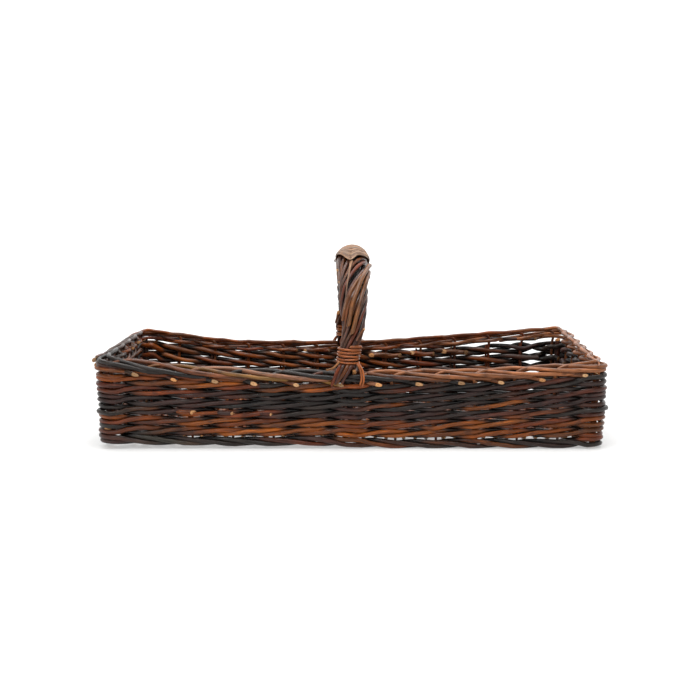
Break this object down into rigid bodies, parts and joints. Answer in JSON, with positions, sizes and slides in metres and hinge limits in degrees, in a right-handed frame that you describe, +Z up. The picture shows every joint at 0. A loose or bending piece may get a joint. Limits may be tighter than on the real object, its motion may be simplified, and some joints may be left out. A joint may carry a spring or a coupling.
{
  "type": "trug garden basket",
  "caption": "Long, shallow rectangular trug woven from unpeeled willow rods, with a rope-twisted border and a fixed roped bow handle over the middle.",
  "frame": {"origin": "on the ground under the middle of the basket", "axes": "+X along the basket to the right, +Y to the back wall, +Z up"},
  "size_m": [0.6014, 0.3149, 0.2309],
  "materials": {
    "stick_brown": "satin",
    "willow_dark": "satin",
    "willow_brown": "satin",
    "willow_warm": "satin",
    "willow_green": "satin",
    "willow_tan": "satin",
    "skein_pale": "satin",
    "cut_end": "matte"
  },
  "bodies": {
    "root": {"base_edge_stick_front": "stick_brown", "base_edge_stick_back": "stick_brown", "base_inner_sticks": "stick_brown", "base_weavers_over": "willow_warm", "base_weavers_under": "willow_brown", "foot_wale_rod_1": "willow_green", "foot_wale_rod_2": "willow_brown", "foot_wale_rod_3": "willow_dark", "corner_post_front_left": "stick_brown", "corner_post_front_right": "stick_brown", "corner_post_back_right": "stick_brown", "corner_post_back_left": "stick_brown", "stakes_and_border_front": "willow_tan", "stakes_and_border_right": "willow_warm", "stakes_and_border_back": "willow_brown", "stakes_and_border_left": "willow_green", "bye_stakes_front": "willow_brown", "bye_stakes_right": "willow_brown", "bye_stakes_back": "willow_brown", "bye_stakes_left": "willow_brown", "side_wale_row_1": "willow_warm", "side_wale_row_2": "willow_brown", "side_wale_row_3": "willow_dark", "side_wale_row_4": "willow_green", "side_wale_row_5": "willow_dark", "side_wale_row_6": "willow_brown", "handle_bow": "stick_brown", "handle_roping_rods": "willow_warm", "handle_grip_wrap": "skein_pale", "handle_tie_front": "willow_tan", "handle_tie_back": "willow_tan"}
  },
  "joints": []
}
